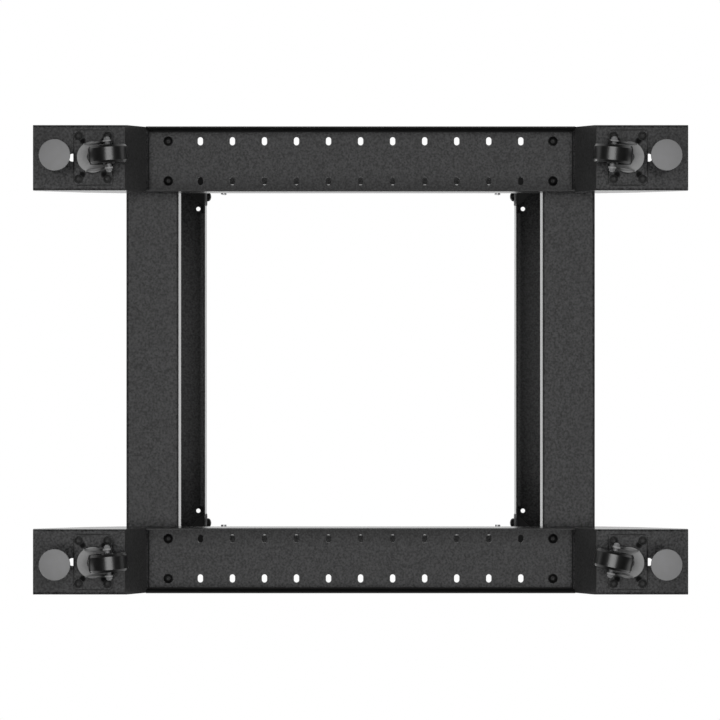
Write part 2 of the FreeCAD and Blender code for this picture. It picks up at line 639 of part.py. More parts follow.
for end, y_sign in (("front", "-"), ("rear", "")):
    for side, x_sign in (("left", "-"), ("right", "")):
        corner = f"{end}_{side}"
        x = f"{x_sign}{member_x}"
        y = f"{y_sign}{frame_y}"
        outward = 180 if end == "front" else 0
        # A post with a wide front flange on the right is the rear left post turned round.
        hand = 1 if corner in ("front_right", "rear_left") else -1
        subparts.append(post(f"post_{corner}", hand, f"{x_sign}(frame_width / 2)", f"{y_sign}{beam_y}",
                             180 - outward))
        subparts.append(outrigger_foot(f"outrigger_foot_{corner}", x, y, outward))

        swivel = f"swivel_{corner}"
        turn = value(swivel)
        swivel_y = f"{y_sign}({frame_y} + caster_reach)"
        axle_x = f"{x} - trail * sin({swivel})"
        axle_y = f"{swivel_y} + trail * cos({swivel})"
        subparts += [
            caster_plate(f"caster_plate_{corner}", x, swivel_y),
            caster_fork(f"caster_fork_{corner}", x, swivel_y, turn),
            caster_axle(f"caster_axle_{corner}", axle_x, axle_y, turn),
            caster_wheel(f"caster_wheel_{corner}", axle_x, axle_y, turn),
        ]
        leveller_y = f"{y_sign}({frame_y} + leveller_reach)"
        subparts += [levelling_foot(f"levelling_foot_{corner}", x, leveller_y),
                     levelling_nut(f"levelling_nut_{corner}", x, leveller_y)]

doc.recompute()

# ---------------------------------------------------------------- check and write
for thing in doc.Objects:
    if "Invalid" in thing.State or "Error" in thing.State:
        raise RuntimeError(f"{thing.Label} failed: {thing.State}")
for subpart in subparts:
    shape = subpart.Shape
    if shape.isNull() or not shape.isValid() or not shape.Solids:
        raise RuntimeError(f"{subpart.Label} is not a sound solid")
    print(f"{subpart.Label}: {len(shape.Solids)} solid, {shape.Volume / 1000:.1f} cm3")
for subpart in subparts:
    subpart.Shape.exportStep(f"parts/{subpart.Label}.step")
print(f"wrote {len(subparts)} sub-parts")
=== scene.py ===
import json
import math
import bmesh
import bpy
from mathutils import Matrix, Vector


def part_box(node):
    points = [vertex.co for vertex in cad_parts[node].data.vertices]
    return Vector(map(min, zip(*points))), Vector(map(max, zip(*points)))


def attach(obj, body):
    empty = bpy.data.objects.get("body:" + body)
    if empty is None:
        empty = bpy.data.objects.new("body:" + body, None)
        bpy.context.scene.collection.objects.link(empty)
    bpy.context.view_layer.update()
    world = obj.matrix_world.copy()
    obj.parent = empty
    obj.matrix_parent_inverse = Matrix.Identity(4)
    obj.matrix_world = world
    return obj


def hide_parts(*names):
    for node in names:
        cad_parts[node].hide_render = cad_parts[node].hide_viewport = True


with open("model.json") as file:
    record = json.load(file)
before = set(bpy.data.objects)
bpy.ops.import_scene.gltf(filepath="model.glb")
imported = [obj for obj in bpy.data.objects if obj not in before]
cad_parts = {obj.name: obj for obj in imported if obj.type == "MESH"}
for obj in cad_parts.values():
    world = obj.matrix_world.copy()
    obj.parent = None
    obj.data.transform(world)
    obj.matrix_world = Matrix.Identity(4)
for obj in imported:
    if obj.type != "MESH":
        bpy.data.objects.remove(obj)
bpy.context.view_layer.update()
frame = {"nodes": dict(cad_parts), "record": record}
print("rack loaded:", len(frame["nodes"]), "nodes")

corners = [(end, side) for end in ("front", "rear") for side in ("left", "right")]
signs = [(sx, sy) for sx in (-1, 1) for sy in (-1, 1)]
upsideDown = Matrix.Rotation(math.pi, 4, "X")
towardsFront = Matrix.Rotation(math.pi / 2, 4, "X")  # turns a piece's own +Z to -Y
towardsBack = Matrix.Rotation(math.pi, 4, "Z") @ towardsFront
weldDistance = 1e-6
smoothBelow = math.radians(40)  # edges sharper than this stay sharp


# Shaping: pieces are made about their own Z axis and then put in place.
def roundRing(radius, height):
    return lambda angle: Vector((radius * math.cos(angle), radius * math.sin(angle), height))


def hexRing(flats, height, drop=0.0):
    # a hexagon whose corners fall below the height by drop
    def place(angle):
        fromFlat = angle % (math.pi / 3) - math.pi / 6
        reach = flats / 2 / math.cos(fromFlat)
        share = (reach - flats / 2) / (flats / math.sqrt(3) - flats / 2)
        return Vector((reach * math.cos(angle), reach * math.sin(angle), height - drop * share))
    return place


def moveRing(verts, shape):
    for vert in verts:
        vert.co = shape(math.atan2(vert.co.y, vert.co.x) % (2 * math.pi))


def stackRings(bm, shapes, sides=24, closed=False):
    # one ring after the other; closed joins the last to the first, otherwise both ends are filled
    first = bmesh.ops.create_circle(bm, segments=sides, radius=1)["verts"]
    edges = {edge for vert in first for edge in vert.link_edges}
    startEdges = set(edges)
    moveRing(first, shapes[0])
    for shape in shapes[1:]:
        grown = bmesh.ops.extrude_edge_only(bm, edges=list(edges))["geom"]
        moveRing([item for item in grown if isinstance(item, bmesh.types.BMVert)], shape)
        edges = {item for item in grown if isinstance(item, bmesh.types.BMEdge)}
    if closed:
        bmesh.ops.bridge_loops(bm, edges=list(startEdges | edges))
    else:
        bmesh.ops.edgeloop_fill(bm, edges=list(startEdges))
        bmesh.ops.edgeloop_fill(bm, edges=list(edges))
    return bm


def spinProfile(bm, outline, steps, turns=1, rise=0.0):
    # a profile of (radius, height) points turned about Z, once round or up a thread
    verts = [bm.verts.new((radius, 0, height)) for radius, height in outline]
    edges = [bm.edges.new(pair) for pair in zip(verts, verts[1:])]
    bmesh.ops.spin(bm, geom=verts + edges, axis=(0, 0, 1), cent=(0, 0, 0), dvec=(0, 0, rise),
                   angle=2 * math.pi * turns, steps=steps, use_merge=rise == 0)
    bmesh.ops.remove_doubles(bm, verts=bm.verts[:], dist=weldDistance)
    return bm


def copyTo(bm, places):
    # the shape made so far, once at each place
    original = bm.verts[:] + bm.edges[:] + bm.faces[:]
    for place in places:
        copied = bmesh.ops.duplicate(bm, geom=original)["geom"]
        bmesh.ops.transform(bm, matrix=place,
                            verts=[v for v in copied if isinstance(v, bmesh.types.BMVert)])
    bmesh.ops.delete(bm, geom=[v for v in original if isinstance(v, bmesh.types.BMVert)],
                     context="VERTS")
    return bm


def joinInto(bm, other):
    spare = bpy.data.meshes.new("spare")
    other.to_mesh(spare)
    bm.from_mesh(spare)
    other.free()
    bpy.data.meshes.remove(spare)
    return bm


def finishPiece(bm, name, material, body):
    bmesh.ops.recalc_face_normals(bm, faces=bm.faces[:])
    mesh = bpy.data.meshes.new(name)
    bm.to_mesh(mesh)
    bm.free()
    mesh.materials.append(material)
    for polygon in mesh.polygons:
        polygon.use_smooth = True
    mesh.set_sharp_from_angle(angle=smoothBelow)
    piece = bpy.data.objects.new(name, mesh)
    bpy.context.scene.collection.objects.link(piece)
    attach(piece, body)
    return piece


# Finishes: each one is a look, a cloud of noise and a few masks that read object coordinates.
def startMaterial(name, look):
    material = bpy.data.materials.new(name)
    material.use_nodes = True
    tree = material.node_tree
    shader = tree.nodes["Principled BSDF"]
    shader.inputs["Roughness"].default_value = look["roughness"]
    shader.inputs["Metallic"].default_value = look["metallic"]
    shader.inputs["Specular IOR Level"].default_value = look["gloss"]
    place = tree.nodes.new("ShaderNodeTexCoord").outputs["Object"]
    return material, tree, shader, place


def feed(tree, source, socket):
    # a number is written on the socket, an output is linked to it
    if isinstance(source, (int, float)):
        socket.default_value = source
    else:
        tree.links.new(source, socket)


def addNoise(tree, place, scale, detail):
    noise = tree.nodes.new("ShaderNodeTexNoise")
    noise.inputs["Scale"].default_value = scale
    noise.inputs["Detail"].default_value = detail
    tree.links.new(place, noise.inputs["Vector"])
    return noise.outputs["Fac"]


def addRamp(tree, source, look, blue=1.0):
    # from the dark grey to the light one, which may lean to blue
    dark, light = look["dark"], look["light"]
    ramp = tree.nodes.new("ShaderNodeValToRGB")
    first, last = ramp.color_ramp.elements
    first.position, last.position = look["spread"]
    first.color = (dark, dark, dark, 1)
    last.color = (light, light, light * blue, 1)
    tree.links.new(source, ramp.inputs["Fac"])
    return ramp.outputs["Color"]


def addBump(tree, source, shader, strength, distance):
    bump = tree.nodes.new("ShaderNodeBump")
    bump.inputs["Strength"].default_value = strength
    bump.inputs["Distance"].default_value = distance
    tree.links.new(source, bump.inputs["Height"])
    tree.links.new(bump.outputs["Normal"], shader.inputs["Normal"])


def maths(tree, operation, first, second=0.0):
    step = tree.nodes.new("ShaderNodeMath")
    step.operation = operation
    feed(tree, first, step.inputs[0])
    feed(tree, second, step.inputs[1])
    return step.outputs["Value"]


def fade(tree, source, start, end, low=0.0, high=1.0):
    # low at start, high at end
    step = tree.nodes.new("ShaderNodeMapRange")
    for name, size in (("From Min", start), ("From Max", end), ("To Min", low), ("To Max", high)):
        step.inputs[name].default_value = size
    tree.links.new(source, step.inputs["Value"])
    return step.outputs["Result"]


def mixGrey(tree, mask, colour, grey):
    mix = tree.nodes.new("ShaderNodeMix")
    mix.data_type = "RGBA"
    mix.inputs["B"].default_value = (grey, grey, grey, 1)
    tree.links.new(mask, mix.inputs["Factor"])
    tree.links.new(colour, mix.inputs["A"])
    return mix.outputs["Result"]


def planFrom(tree, place, centre):
    # how far along X and along Y from a point that all four corners share
    split = tree.nodes.new("ShaderNodeSeparateXYZ")
    tree.links.new(place, split.inputs["Vector"])
    along = []
    for axis, middle in zip("XY", centre):
        offset = maths(tree, "SUBTRACT", maths(tree, "ABSOLUTE", split.outputs[axis]), middle)
        along.append(maths(tree, "ABSOLUTE", offset))
    return along


def heightOf(tree, place):
    split = tree.nodes.new("ShaderNodeSeparateXYZ")
    tree.links.new(place, split.inputs["Vector"])
    return split.outputs["Z"]


def distanceFrom(tree, along, point=(0, 0)):
    plan = tree.nodes.new("ShaderNodeCombineXYZ")
    for axis, reach in zip("XY", along):
        tree.links.new(reach, plan.inputs[axis])
    distance = tree.nodes.new("ShaderNodeVectorMath")
    distance.operation = "DISTANCE"
    distance.inputs[1].default_value = (*point, 0)
    tree.links.new(plan.outputs["Vector"], distance.inputs[0])
    return distance.outputs["Value"]


def edgePatch(tree, place, patch):
    # a thin band along the outline of a rectangle, used for painted shade lines at edges
    along = planFrom(tree, place, patch["centre"])
    beyond = [maths(tree, "SUBTRACT", reach, half) for reach, half in zip(along, patch["half"])]
    nearest = maths(tree, "MAXIMUM", *beyond)
    return fade(tree, nearest, -patch["band"], -patch["band"] * patch["softness"])


def spotPatch(tree, place, patch):
    # a round dark spot at the same point of every corner, used for painted shade beside the caster
    # bolts
    reach = distanceFrom(tree, planFrom(tree, place, patch["centre"]), patch["at"])
    return fade(tree, reach, patch["radius"], patch["radius"] / 2)


def facePatch(tree, place, patch):
    # an upright face, found by how far out it stands
    reach = planFrom(tree, place, (0, 0))["XY".index(patch["axis"])]
    return maths(tree, "MULTIPLY",
                 fade(tree, reach, patch["from"], patch["from"] + patch["softness"]),
                 fade(tree, reach, patch["to"], patch["to"] - patch["softness"]))


def slopePatch(tree, place, patch):
    # the outer face of a slope that rises towards the middle of the rack
    run, rise, (startY, startZ) = patch["run"], patch["rise"], patch["start"]
    length = math.hypot(run, rise)
    outward = maths(tree, "MULTIPLY", planFrom(tree, place, (0, 0))[1], rise / length)
    upward = maths(tree, "MULTIPLY", heightOf(tree, place), run / length)
    level = (startY * rise + startZ * run) / length
    behind = maths(tree, "SUBTRACT", maths(tree, "ADD", outward, upward), level)
    skin, soft = patch["skin"], patch["softness"]
    return fade(tree, behind, skin + soft, skin, 0, patch["evenness"])


def texturedPowderCoat(name, look, patches=()):
    # speckled coat; each patch covers a place with a plain grey, and may be matt
    material, tree, shader, place = startMaterial(name, look)
    grain = addNoise(tree, place, look["grain"], look["detail"])
    colour = addRamp(tree, grain, look, look["blue"])
    for findPatch, patch in patches:
        mask = findPatch(tree, place, patch)
        colour = mixGrey(tree, mask, colour, patch["grey"])
        if patch["matt"]:
            roughness = fade(tree, mask, 0, 1, look["roughness"], 1)
            tree.links.new(roughness, shader.inputs["Roughness"])
    tree.links.new(colour, shader.inputs["Base Color"])
    addBump(tree, grain, shader, look["bump"], look["bumpDepth"])
    return material


def cloudedFinish(name, look):
    # bare or plated metal, and rubber
    material, tree, shader, place = startMaterial(name, look)
    cloud = addNoise(tree, place, look["cloud"], look["detail"])
    tree.links.new(addRamp(tree, cloud, look, look["blue"]), shader.inputs["Base Color"])
    source = addNoise(tree, place, *look["fine"]) if "fine" in look else cloud
    addBump(tree, source, shader, look["bump"], look["bumpDepth"])
    return material


def zincForkWithPaintedLegShade(name, look):
    # zinc plated fork; outside the crown's circle its legs are painted dark as painted shade, from
    # under the crown down to their tips, which stay zinc
    material, tree, shader, place = startMaterial(name, look)
    cloud = addNoise(tree, place, look["cloud"], look["detail"])
    height, soft = heightOf(tree, place), look["softness"]
    reach = distanceFrom(tree, planFrom(tree, place, look["swivel"]))
    outside = fade(tree, reach, look["radius"] - look["fade"], look["radius"] + look["fade"])
    below = fade(tree, height, look["crownLow"], look["crownLow"] - soft)
    aboveTip = fade(tree, height, look["tip"], look["tip"] + soft)
    legs = maths(tree, "MULTIPLY", outside, maths(tree, "MULTIPLY", below, aboveTip))
    colour = mixGrey(tree, legs, addRamp(tree, cloud, look), look["legs"])
    tree.links.new(colour, shader.inputs["Base Color"])
    addBump(tree, cloud, shader, look["bump"], look["bumpDepth"])
    return material


railLow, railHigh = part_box("base_side_rail_right")
plateLow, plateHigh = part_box("caster_plate_rear_right")
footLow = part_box("outrigger_foot_rear_right")[0]
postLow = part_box("post_rear_right")[0]


def borderOf(low, high, band, grey):
    return {"centre": [abs(low[axis] + high[axis]) / 2 for axis in (0, 1)],
            "half": [(high[axis] - low[axis]) / 2 for axis in (0, 1)],
            "band": band, "softness": 0.3, "grey": grey, "matt": False}


coat = {"dark": 0.013, "light": 0.052, "blue": 1.02, "spread": (0.34, 0.66), "roughness": 0.18,
        "metallic": 0, "gloss": 0.055, "grain": 400, "detail": 4, "bump": 0.05, "bumpDepth": 0.0004}
# the top cross-members get a lighter copy of the same coat, as painted light
topLitLook = dict(coat, dark=0.018, light=0.06)
footLook = dict(coat, dark=0.009, light=0.053, grain=370)
mattLook = dict(coat, dark=0.014, light=0.032, roughness=0.9, gloss=0)
# painted shade: a thin dark band along the rail's outline, standing in for the shadow gap at its
# ends and edges
railEdgeShade = borderOf(railLow, railHigh, 0.0018, 0.004)
# painted shade on the inner face of the rail's outer flange, which is also made matt
railInsideShade = {"axis": "X", "from": railHigh.x - 0.0045, "to": railHigh.x - 0.0012,
              "softness": 0.0003, "grey": 0.014, "matt": True}
footSlope = {"run": 0.0248, "rise": 0.042, "skin": 0.0004, "softness": 0.0005, "grey": 0.0315,
             "evenness": 0.75, "matt": False}
footSlope["start"] = (footLow.y + footSlope["run"], footLow.z)
# painted shade: a dark band round the caster plate's outline, standing in for the shadow at its
# edges
plateEdgeShade = borderOf(plateLow, plateHigh, 0.002, 0.001)
# painted shade: a dark matt spot between each caster bolt and the swivel crown
plateBoltShade = {"centre": plateEdgeShade["centre"], "at": (0.0216, 0.0138), "radius": 0.0048,
               "grey": 0.007, "matt": True}
# painted shade on the posts' inner flange face, which is also made matt
postInsideShade = {"axis": "Y", "from": postLow.y - 0.001, "to": postLow.y + 0.0025,
              "softness": 0.0003, "grey": 0.0115, "matt": True}
beamCoat = texturedPowderCoat("texturedBlackPowderCoat", coat)
topLitBeamCoat = texturedPowderCoat("topBlackPowderCoatPaintedLighter", topLitLook)
railCoat = texturedPowderCoat("railBlackPowderCoat", coat,
                              [(edgePatch, railEdgeShade), (facePatch, railInsideShade)])
footCoat = texturedPowderCoat("footBlackPowderCoat", footLook, [(slopePatch, footSlope)])
plateCoat = texturedPowderCoat("plateBlackPowderCoat", footLook,
                               [(edgePatch, plateEdgeShade), (spotPatch, plateBoltShade)])
postCoat = texturedPowderCoat("mattBlackPowderCoat", mattLook, [(facePatch, postInsideShade)])

plating = {"dark": 0.17, "light": 0.21, "blue": 1.02, "spread": (0.3, 0.7), "roughness": 0.6,
           "metallic": 0.25, "gloss": 0.4, "cloud": 300, "detail": 4, "fine": (1500, 2),
           "bump": 0.1, "bumpDepth": 0.0001}
brightPlating = dict(plating, dark=0.62, light=0.72, roughness=0.4, metallic=0.9)
padPlating = dict(plating, dark=0.195, light=0.205, cloud=120, roughness=0.7, metallic=0.1)
zincPlate = cloudedFinish("dullZincPlate", plating)
brightZinc = cloudedFinish("brightZincPlate", brightPlating)
padMetal = cloudedFinish("padGreyPlate", padPlating)

forkLook = {"dark": 0.234, "light": 0.26, "spread": (0.3, 0.7), "roughness": 0.6, "metallic": 0.1,
            "gloss": 0.3, "cloud": 300, "detail": 4, "bump": 0.1, "bumpDepth": 0.0001,
            "legs": 0.012, "radius": 0.0195, "fade": 0.002, "crownLow": 0.0564, "tip": 0.0196,
            "softness": 0.001, "swivel": plateEdgeShade["centre"]}
forkFinish = zincForkWithPaintedLegShade("zincForkPaintedLegShade", forkLook)

rubber = {"dark": 0.005, "light": 0.009, "blue": 1, "spread": (0.3, 0.7), "roughness": 0.28,
          "metallic": 0, "gloss": 0.5, "cloud": 260, "detail": 3, "bump": 0.04,
          "bumpDepth": 0.0001}
screwSteel = {"dark": 0.004, "light": 0.008, "blue": 1, "spread": (0.3, 0.7), "roughness": 0.4,
              "metallic": 0, "gloss": 0.16, "cloud": 500, "detail": 2, "bump": 0.1,
              "bumpDepth": 0.0001}
wheelBlack = cloudedFinish("hardBlackRubber", rubber)
screwBlack = cloudedFinish("blackenedScrewSteel", screwSteel)
boltBlack = cloudedFinish("coatedBoltSteel", dict(screwSteel, dark=0.014, light=0.03, gloss=0.1))

finishOfSlot = {"black_powder_coat": beamCoat, "zinc_plate": zincPlate, "pad_grey": padMetal,
                "wheel_black": wheelBlack}
finishOfKind = {"base_side_rail": railCoat, "outrigger_foot": footCoat, "caster_plate": plateCoat,
                "post": postCoat, "caster_fork": forkFinish, "top_front": topLitBeamCoat,
                "top_rear": topLitBeamCoat}
for subpart in frame["record"]["subparts"]:
    node = subpart["node"]
    special = [finish for kind, finish in finishOfKind.items() if node.startswith(kind)]
    mesh = frame["nodes"][node].data
    mesh.materials.clear()
    mesh.materials.append(special[0] if special else finishOfSlot[subpart["material_slot"]])
print("finishes set")

# Screws and nuts: their seat is at height 0. The shapes are shares of the screw's own sizes.
buttonShape = {"tip": 0.0006, "flangeSide": 0.168, "flangeTop": 0.28, "flangeTaper": 0.96,
               "dome": [(1, 0.322), (0.93, 0.52), (0.8, 0.76), (0.62, 0.93)],
               "socketRim": 0.68, "socketMouth": 0.62, "socketLip": 0.0003,
               "socketFloor": 0.62, "socketPoint": (0.1, 0.58)}


def buttonHead(screw):
    # domed head with a flange and a hexagon socket, shank down the middle
    shape, height, socket = buttonShape, screw["height"], screw["socket"]
    flange, shank = screw["flange"] / 2, screw["shank"] / 2
    rings = [roundRing(shank, shape["tip"] - screw["length"]), roundRing(shank, 0),
             roundRing(flange, 0), roundRing(flange, height * shape["flangeSide"]),
             roundRing(flange * shape["flangeTaper"], height * shape["flangeTop"])]
    rings += [roundRing(screw["head"] / 2 * width, height * rise) for width, rise in shape["dome"]]
    pointWidth, pointRise = shape["socketPoint"]
    rings += [roundRing(socket * shape["socketRim"], height),
              roundRing(socket * shape["socketMouth"], height),
              hexRing(socket, height - shape["socketLip"]),
              hexRing(socket, height * shape["socketFloor"]),
              roundRing(socket * pointWidth, height * pointRise)]
    return stackRings(bmesh.new(), rings)


domeShape = {"foot": 0.97, "footEdge": 0.0003, "side": 0.3, "rings": 6, "step": math.radians(13),
             "flat": 0.06}


def domedHead(screw):
    # smooth round cap, nearly a half ball
    shape, radius, height = domeShape, screw["head"] / 2, screw["height"]
    rings = [roundRing(screw["shank"] / 2, -screw["length"]), roundRing(screw["shank"] / 2, 0),
             roundRing(radius * shape["foot"], 0), roundRing(radius, shape["footEdge"]),
             roundRing(radius, height * shape["side"])]
    for step in range(1, shape["rings"] + 1):
        angle = shape["step"] * step
        rise = shape["side"] + (1 - shape["side"]) * math.sin(angle)
        rings.append(roundRing(radius * math.cos(angle), height * rise))
    return stackRings(bmesh.new(), rings + [roundRing(radius * shape["flat"], height)])


nutShape = {"flangeDepth": 0.12, "cone": (0.575, 0.28), "hexLow": 0.34, "hexTop": 0.93,
            "chamfer": 0.12, "face": 0.475, "lead": 1.08, "leadDepth": 0.92,
            "endOverlap": 0.0002, "endEdge": 0.0006, "endWidth": 0.82, "endSides": 16}


def hexNut(nut, end=0.0):
    # chamfered nut with a flange; end is how far the screw's own end stands above it
    shape, flats, depth, bore = nutShape, nut["flats"], nut["depth"], nut["bore"] / 2
    coneWidth, coneRise = shape["cone"]
    bm = stackRings(bmesh.new(), [
        roundRing(bore, 0), roundRing(nut["flange"] / 2, 0),
        roundRing(nut["flange"] / 2, depth * shape["flangeDepth"]),
        roundRing(flats * coneWidth, depth * coneRise), hexRing(flats, depth * shape["hexLow"]),
        hexRing(flats, depth * shape["hexTop"], depth * shape["chamfer"]),
        roundRing(flats * shape["face"], depth), roundRing(bore * shape["lead"], depth),
        roundRing(bore, depth * shape["leadDepth"])], closed=True)
    if end > 0:
        tip = stackRings(bmesh.new(), [
            roundRing(bore, shape["endOverlap"]), roundRing(bore, depth + end - shape["endEdge"]),
            roundRing(bore * shape["endWidth"], depth + end)], sides=shape["endSides"])
        joinInto(bm, tip)
    return bm


def flatWasher(washer):
    hole, rim = washer["bore"] / 2, washer["width"] / 2
    depth, edge = washer["depth"], washer["edge"]
    return stackRings(bmesh.new(), [
        roundRing(hole, 0), roundRing(rim - edge, 0), roundRing(rim, edge),
        roundRing(rim, depth - edge), roundRing(rim - edge, depth), roundRing(hole, depth)],
        sides=washer["sides"], closed=True)


# where the frame's own holes are
frameHoles = {"rowSpacing": 0.0517, "pitch": 0.04164, "postScrewFromSide": 0.0503, "sheet": 0.002}
crossLow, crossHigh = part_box("base_rear_cross_member")
topLow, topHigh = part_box("top_rear_cross_member")
topRailLow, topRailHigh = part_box("top_side_rail_right")
railMiddle, crossMiddle = (railLow.x + railHigh.x) / 2, (crossLow.y + crossHigh.y) / 2
rowX = [railMiddle + share * frameHoles["rowSpacing"] / 2 for share in (-1, 1)]
rowY = [crossMiddle + share * frameHoles["pitch"] / 2 for share in (-1, 1)]

# rail and ear screws: heads below the web, nuts on the cross-member's web
frameScrew = {"head": 0.0108, "height": 0.0046, "flange": 0.0126, "shank": 0.006,
              "length": 0.012, "socket": 0.003}
frameNut = {"flats": 0.010, "depth": 0.0055, "bore": 0.0058, "flange": 0.0135}
screwEnd = 0.002  # how far a screw's end stands out of its nut
spots = [(sx * x, sy * y) for sx, sy in signs for x in rowX for y in rowY]
headSeat = railHigh.z - frameHoles["sheet"]
webTop = crossLow.z + frameHoles["sheet"]
bm = copyTo(buttonHead(frameScrew),
            [Matrix.Translation((x, y, headSeat)) @ upsideDown for x, y in spots])
finishPiece(bm, "base_frame_screws", screwBlack, "frame")
bm = copyTo(hexNut(frameNut, screwEnd), [Matrix.Translation((x, y, webTop)) for x, y in spots])
finishPiece(bm, "base_frame_nuts", screwBlack, "frame")

# screws through the ends of the top rails
topSpots = [(sx * rowX[1], sy * rowY[0]) for sx, sy in signs]
underWeb = topHigh.z - frameHoles["sheet"]
bm = copyTo(buttonHead(frameScrew),
            [Matrix.Translation((x, y, topRailHigh.z)) for x, y in topSpots])
finishPiece(bm, "top_rail_screws", screwBlack, "frame")
bm = copyTo(hexNut(frameNut, screwEnd),
            [Matrix.Translation((x, y, underWeb)) @ upsideDown for x, y in topSpots])
finishPiece(bm, "top_rail_nuts", screwBlack, "frame")

# screws that hold the posts in the cross-members: heads inside, nuts outside
postScrew = {"head": 0.0142, "height": 0.0062, "shank": 0.0066, "length": 0.004}
postNut = {"flats": 0.011, "depth": 0.006, "bore": 0.0064, "flange": 0.0145}
postWasher = {"width": 0.028, "bore": 0.0068, "depth": 0.0018, "edge": 0.0002, "sides": 32}
onWasher = Matrix.Translation((0, 0, postWasher["depth"]))
screwX = crossHigh.x - frameHoles["postScrewFromSide"]
levels = [(low.z + high.z) / 2 for low, high in ((crossLow, crossHigh), (topLow, topHigh))]
innerSeats, outerSeats = [], []
for sx, sy in signs:
    inward, outward = (towardsFront, towardsBack) if sy > 0 else (towardsBack, towardsFront)
    for level in levels:
        innerSeats.append(Matrix.Translation((sx * screwX, sy * crossLow.y, level)) @ inward)
        outerSeats.append(Matrix.Translation((sx * screwX, sy * crossHigh.y, level)) @ outward)
bm = copyTo(domedHead(postScrew), [seat @ onWasher for seat in innerSeats])
finishPiece(bm, "post_screws", screwBlack, "frame")
bm = copyTo(hexNut(postNut, screwEnd), [seat @ onWasher for seat in outerSeats])
finishPiece(bm, "post_nuts", screwBlack, "frame")
bm = copyTo(flatWasher(postWasher), innerSeats + outerSeats)
finishPiece(bm, "post_washers", zincPlate, "frame")

# studs with a nut, standing in from the top rails
railStud = {"flats": 0.013, "depth": 0.0065, "bore": 0.009, "flange": 0.015, "length": 0.0153,
            "fromMiddle": 0.21}
studs = []
for sx, sy in signs:
    spot = (sx * topRailLow.x, sy * railStud["fromMiddle"], (topRailLow.z + topRailHigh.z) / 2)
    studs.append(Matrix.Translation(spot) @ Matrix.Rotation(-sx * math.pi / 2, 4, "Y"))
bm = copyTo(hexNut(railStud, railStud["length"] - railStud["depth"]), studs)
finishPiece(bm, "top_rail_studs", brightZinc, "frame")
print("frame screws placed")

# caster bolts: heads under the plate, nuts on the sole
casterBolt = {"head": 0.0100, "height": 0.0028, "flange": 0.0115, "shank": 0.006,
              "length": 0.004, "socket": 0.004}
casterNut = {"flats": 0.010, "depth": 0.005, "bore": 0.0058, "flange": 0.012}
boltHoles = {"across": 0.055, "along": 0.037, "plate": 0.0025}
headSpots, nutSpots = [], []
for end, side in corners:
    low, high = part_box(f"caster_plate_{end}_{side}")
    middle = (low + high) / 2
    for sx, sy in signs:
        x = middle.x + sx * boltHoles["across"] / 2
        y = middle.y + sy * boltHoles["along"] / 2
        headSpots.append(Matrix.Translation((x, y, high.z - boltHoles["plate"])) @ upsideDown)
        nutSpots.append(Matrix.Translation((x, y, high.z + frameHoles["sheet"])))
bm = copyTo(buttonHead(casterBolt), headSpots)
finishPiece(bm, "caster_bolts", boltBlack, "frame")
bm = copyTo(hexNut(casterNut, screwEnd), nutSpots)
finishPiece(bm, "caster_bolt_nuts", screwBlack, "frame")
print("caster bolts placed")

# axle bolts with a small nut outside each fork leg
axleBolt = {"shaft": 0.003, "end": 0.0025, "legFace": 0.018, "reach": 0.0225, "edge": 0.0005,
            "steps": 24}
axleNut = {"flats": 0.0072, "depth": 0.0032, "bore": 0.005, "flange": 0.0086}
onLeg = Matrix.Translation((0, 0, axleBolt["legFace"]))
for end, side in corners:
    low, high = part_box(f"caster_plate_{end}_{side}")
    axleLow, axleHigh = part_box(f"caster_axle_{end}_{side}")
    middle = (axleLow + axleHigh) / 2
    trail = middle - (low + high) / 2
    heading = Matrix.Rotation(math.atan2(trail.x, -trail.y), 4, "Z")
    across = heading @ Matrix.Rotation(math.pi / 2, 4, "Y")
    half = [(axleBolt["shaft"], 0), (axleBolt["shaft"], axleBolt["legFace"]),
            (axleBolt["end"], axleBolt["legFace"]),
            (axleBolt["end"], axleBolt["reach"] - axleBolt["edge"]),
            (axleBolt["end"] - axleBolt["edge"], axleBolt["reach"]), (0, axleBolt["reach"])]
    otherHalf = [(radius, -height) for radius, height in reversed(half)]
    bm = spinProfile(bmesh.new(), otherHalf + half[1:], axleBolt["steps"])
    joinInto(bm, copyTo(hexNut(axleNut), [onLeg, upsideDown @ onLeg]))
    bmesh.ops.transform(bm, matrix=Matrix.Translation(middle) @ across, verts=bm.verts[:])
    piece = finishPiece(bm, f"caster_axle_bolt_{end}_{side}", zincPlate, f"swivel_{end}_{side}")
    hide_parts(f"caster_axle_{end}_{side}")
print("axle bolts placed")

# levelling feet with a thread
levelling = {"pad": 0.01975, "padDepth": 0.005, "edge": 0.0012, "bevel": 0.3, "boss": 0.0085,
             "bossFoot": 0.001, "bossTaper": 0.0004, "bossDepth": 0.007, "crest": 0.005,
             "root": 0.0043, "pitch": 0.0015, "crestFrom": 0.4, "crestTo": 0.6, "stepsPerTurn": 16,
             "threadStart": 0.0005, "stemEdge": 0.0008, "steps": 40}


def levellingPad(foot, stemTop):
    # pad, boss and plain core of the stem, as one turned profile
    rim, edge, deck, root = foot["pad"], foot["edge"], foot["padDepth"], foot["root"]
    bevel, bossTop = edge * foot["bevel"], deck + foot["bossDepth"]
    return spinProfile(bmesh.new(), [
        (0, 0), (rim - edge, 0), (rim - bevel, bevel), (rim, edge), (rim, deck - edge),
        (rim - bevel, deck - bevel), (rim - edge, deck), (foot["boss"], deck + foot["bossFoot"]),
        (foot["boss"] - foot["bossTaper"], bossTop - edge), (foot["boss"] - edge, bossTop),
        (root, bossTop), (root, stemTop - foot["stemEdge"]), (root - foot["stemEdge"], stemTop),
        (0, stemTop)], foot["steps"])


def stemThread(foot, low, high):
    # one tooth of the thread, screwed up the stem
    pitch, root, crest = foot["pitch"], foot["root"], foot["crest"]
    turns = int((high - low) / pitch) - 1
    tooth = [(root, low), (crest, low + pitch * foot["crestFrom"]),
             (crest, low + pitch * foot["crestTo"]), (root, low + pitch)]
    return spinProfile(bmesh.new(), tooth, foot["stepsPerTurn"] * turns, turns=turns,
                       rise=pitch / foot["stepsPerTurn"])


